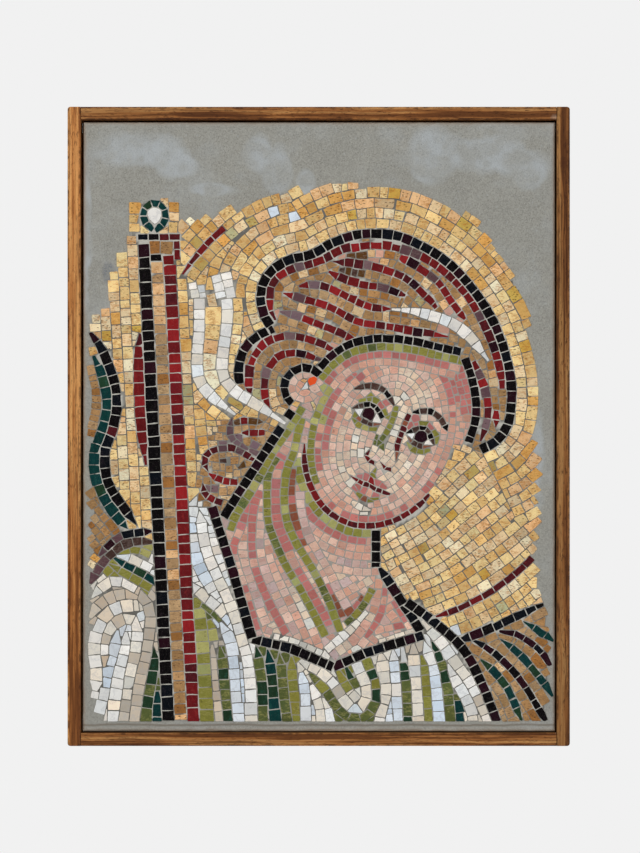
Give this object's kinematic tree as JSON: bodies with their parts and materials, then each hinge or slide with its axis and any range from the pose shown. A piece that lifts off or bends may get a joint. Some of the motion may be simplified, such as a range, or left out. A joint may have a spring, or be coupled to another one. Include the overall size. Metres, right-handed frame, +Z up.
{
  "type": "mosaic panel",
  "caption": "Framed wall mosaic: cut stone and glass set in a cement slab in a plain wooden frame, showing a haloed, winged figure with a staff in the Byzantine manner.",
  "frame": {"origin": "middle of the top rail's back face, in the plane of the wall, where the panel is fixed", "axes": "+Z up; +X to the right seen from the front; the picture faces -Y and the back lies in the plane Y = 0"},
  "size_m": [0.422, 0.028, 0.537],
  "materials": {
    "frame_wood": "oiled, open grain, worn at the edges",
    "cement": "sandy grey cement, dry and matt, with pale bloom",
    "gold_stone": "honed yellow limestone and travertine, pitted, matt",
    "tan_stone": "honed tan travertine, matt",
    "black_glass": "opaque black mosaic glass, satin",
    "red_glass": "opaque dark red mosaic glass, satin",
    "green_glass": "opaque dark green mosaic glass, satin",
    "white_marble": "honed white marble, satin",
    "brown_stone": "honed brown stone, matt",
    "olive_stone": "honed olive green stone, matt",
    "pink_stone": "honed pink limestone, matt"
  },
  "bodies": {
    "root": {"brow_left": "brown_stone", "brow_right": "brown_stone", "cement_slab": "cement", "collar_line": "black_glass", "ear": "pink_stone", "ear_outline": "black_glass", "eye_left": "black_glass", "eye_right": "black_glass", "face": "pink_stone", "frame_bottom_rail": "frame_wood", "frame_left_stile": "frame_wood", "frame_right_stile": "frame_wood", "frame_top_rail": "frame_wood", "gold_ground_below": "gold_stone", "gold_ground_centre": "gold_stone", "gold_ground_left": "gold_stone", "gold_ground_right": "gold_stone", "hair": "tan_stone", "hair_band": "white_marble", "hair_lobe_outline": "black_glass", "hair_outline": "black_glass", "hairline": "black_glass", "halo_line_lower": "red_glass", "halo_line_upper": "red_glass", "jaw_line": "red_glass", "left_wing_dark_row": "black_glass", "left_wing_green_row": "green_glass", "left_wing_lower_stones": "tan_stone", "left_wing_upper_stones": "tan_stone", "mouth": "red_glass", "nape_curls": "brown_stone", "neck": "pink_stone", "neck_left": "pink_stone", "neck_line": "black_glass", "neck_right_line": "black_glass", "neck_shade": "olive_stone", "nose_line": "red_glass", "ribbon_left": "white_marble", "ribbon_right": "white_marble", "right_shoulder_line": "black_glass", "right_wing": "tan_stone", "right_wing_edge": "black_glass", "robe_front": "white_marble", "robe_left": "white_marble", "shoulder_brown_row": "brown_stone", "shoulder_dark_row": "black_glass", "sleeve": "white_marble", "staff_cap": "red_glass", "staff_dark_row": "black_glass", "staff_jewel": "white_marble", "staff_jewel_ring": "green_glass", "staff_ochre_row": "tan_stone", "staff_red_row": "red_glass", "staff_side_row": "red_glass", "temple_line": "black_glass", "throat_line": "black_glass"}
  },
  "joints": []
}
